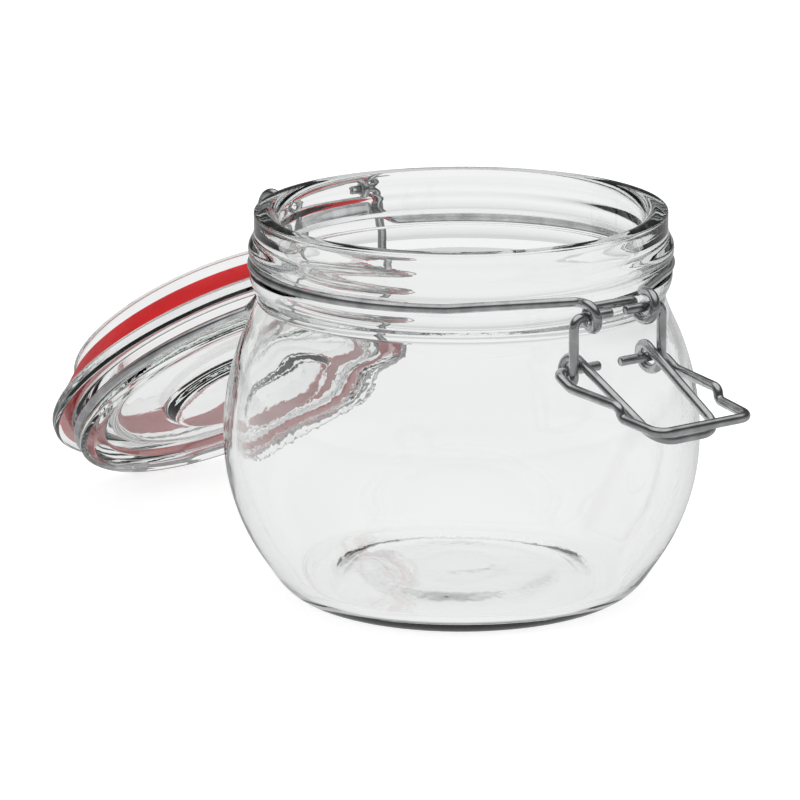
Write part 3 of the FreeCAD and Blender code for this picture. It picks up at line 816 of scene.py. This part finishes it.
# A plain pale floor. Rays that show it in glass or metal get a level of their own, which
# falls from near to far; for the rest it is paper that takes the object's shadow.
def makeFloor():
    size = studio["floorSize"]
    mesh = bpy.data.meshes.new("floor")
    mesh.from_pydata([(-size, -size, 0), (size, -size, 0), (size, size, 0), (-size, size, 0)],
                     [], [(0, 1, 2, 3)])
    floor = bpy.data.objects.new("floor", mesh)
    scene.collection.objects.link(floor)
    material = bpy.data.materials.new("paper")
    material.use_nodes = True
    nodes, links = material.node_tree.nodes, material.node_tree.links
    nodes.clear()
    output = nodes.new("ShaderNodeOutputMaterial")
    path = nodes.new("ShaderNodeLightPath")
    place = nodes.new("ShaderNodeTexCoord")
    distance = nodes.new("ShaderNodeVectorMath")
    distance.operation = "LENGTH"
    links.new(place.outputs["Object"], distance.inputs[0])
    reach = (studio["whiteRadius"], studio["greyRadius"])
    through = ranged(nodes, links, distance.outputs["Value"], studio["throughNear"],
                     studio["throughFar"], *reach)
    mirrored = ranged(nodes, links, distance.outputs["Value"], studio["mirrorNear"],
                      studio["mirrorFar"], *reach)
    shown = nodes.new("ShaderNodeEmission")
    links.new(byRay(nodes, links, path, through, mirrored), shown.inputs["Strength"])
    # straight from the camera it is paper that glows enough to come out white
    paper = nodes.new("ShaderNodeBsdfDiffuse")
    paper.inputs["Color"].default_value = (*studio["floorColor"], 1)
    glow = nodes.new("ShaderNodeEmission")
    straight = nodes.new("ShaderNodeMath")
    straight.operation = "MULTIPLY"
    straight.inputs[1].default_value = studio["floorGlow"]
    links.new(path.outputs["Is Camera Ray"], straight.inputs[0])
    links.new(straight.outputs[0], glow.inputs["Strength"])
    both = nodes.new("ShaderNodeAddShader")
    links.new(paper.outputs[0], both.inputs[0])
    links.new(glow.outputs[0], both.inputs[1])
    mix = nodes.new("ShaderNodeMixShader")
    links.new(shownFactor(nodes, links, path), mix.inputs[0])
    links.new(both.outputs[0], mix.inputs[1])
    links.new(shown.outputs[0], mix.inputs[2])
    links.new(mix.outputs[0], output.inputs["Surface"])
    mesh.materials.append(material)


# The sky's level by height, eased from one stop to the next.
def skyBands(nodes, links, height, stops):
    ramp = nodes.new("ShaderNodeValToRGB")
    ramp.color_ramp.interpolation = "EASE"
    first = ramp.color_ramp.elements[0]
    last = ramp.color_ramp.elements[1]
    first.position, last.position = stops[0][0], stops[-1][0]
    first.color = (stops[0][1],) * 3 + (1,)
    last.color = (stops[-1][1],) * 3 + (1,)
    for position, level in stops[1:-1]:
        element = ramp.color_ramp.elements.new(position)
        element.color = (level, level, level, 1)
    links.new(height, ramp.inputs["Fac"])
    return ramp.outputs["Color"]


# Round the floor: paper at the horizon, a darker room above it, white overhead. Straight
# from the camera the sky is white.
def makeSky():
    world = bpy.data.worlds.new("studioWorld")
    scene.world = world
    world.use_nodes = True
    nodes, links = world.node_tree.nodes, world.node_tree.links
    nodes.clear()
    output = nodes.new("ShaderNodeOutputWorld")
    path = nodes.new("ShaderNodeLightPath")
    place = nodes.new("ShaderNodeTexCoord")
    split = nodes.new("ShaderNodeSeparateXYZ")
    links.new(place.outputs["Generated"], split.inputs[0])
    through = skyBands(nodes, links, split.outputs["Z"], studio["throughSky"])
    mirrored = skyBands(nodes, links, split.outputs["Z"], studio["mirrorSky"])
    shown = nodes.new("ShaderNodeBackground")
    links.new(byRay(nodes, links, path, through, mirrored), shown.inputs["Strength"])
    plain = nodes.new("ShaderNodeBackground")
    plain.inputs["Strength"].default_value = studio["skyLight"]
    white = nodes.new("ShaderNodeBackground")
    mixShown = nodes.new("ShaderNodeMixShader")
    links.new(shownFactor(nodes, links, path), mixShown.inputs[0])
    links.new(plain.outputs[0], mixShown.inputs[1])
    links.new(shown.outputs[0], mixShown.inputs[2])
    mixCamera = nodes.new("ShaderNodeMixShader")
    links.new(path.outputs["Is Camera Ray"], mixCamera.inputs[0])
    links.new(mixShown.outputs[0], mixCamera.inputs[1])
    links.new(white.outputs[0], mixCamera.inputs[2])
    links.new(mixCamera.outputs[0], output.inputs["Surface"])
    for background in (shown, plain, white):
        background.inputs["Color"].default_value = (1, 1, 1, 1)


lamps = [
    {"name": "softTop", "at": (0.1, -0.2, 1.5), "size": 1.0, "watts": 7.0},
    {"name": "softLeft", "at": (-1.3, -0.2, 0.8), "size": 0.6, "watts": 3.5},
    {"name": "softRight", "at": (0.9, -1.0, 0.7), "size": 0.5, "watts": 2.5},
]
lampAim = (0.0001, 0.02, 0.04)


# Place and turn of a lamp or camera: local -Z points along the view, local +Y is up, and
# roll leans it to one side.
def facing(position, forward, roll=0.0):
    forward = np.asarray(forward, float) / np.linalg.norm(forward)
    right = np.cross(forward, [0, 0, 1])
    right /= np.linalg.norm(right)
    up = np.cross(right, forward)
    tilted = right - roll * up
    tilted /= np.linalg.norm(tilted)
    upTilted = np.cross(-forward, tilted)
    turn = np.eye(4)
    turn[:3, 0], turn[:3, 1], turn[:3, 2] = tilted, upTilted, -forward
    turn[:3, 3] = position
    return Matrix(turn.tolist())


# Soft square lamps turned to the jar. They light it and aren't mirrored in it.
def makeLamps():
    for lamp in lamps:
        data = bpy.data.lights.new(lamp["name"], "AREA")
        data.shape = "SQUARE"
        data.size = lamp["size"]
        data.energy = lamp["watts"]
        item = bpy.data.objects.new(lamp["name"], data)
        scene.collection.objects.link(item)
        item.matrix_world = facing(lamp["at"], np.array(lampAim) - lamp["at"])
        item.visible_glossy = False
        item.visible_transmission = False


cameraSetup = {"at": (-0.65941, -0.89112, 0.33166), "headingDeg": 35.774, "downDeg": 14.524,
               "roll": 0.00541, "lens": 225.0, "sensor": 36.0, "nearest": 0.05, "farthest": 30}


# A long lens from the front left, heading measured from +Y towards +X.
def makeCamera():
    c = cameraSetup
    data = bpy.data.cameras.new("camera")
    data.sensor_width = c["sensor"]
    data.lens = c["lens"]
    data.clip_start = c["nearest"]
    data.clip_end = c["farthest"]
    camera = bpy.data.objects.new("camera", data)
    scene.collection.objects.link(camera)
    heading, down = math.radians(c["headingDeg"]), math.radians(c["downDeg"])
    forward = [math.cos(down) * math.sin(heading), math.cos(down) * math.cos(heading),
               -math.sin(down)]
    camera.matrix_world = facing(c["at"], forward, c["roll"])
    scene.camera = camera


makeFloor()
makeSky()
makeLamps()
makeCamera()
scene.view_settings.view_transform = "Standard"
print("studio ready")
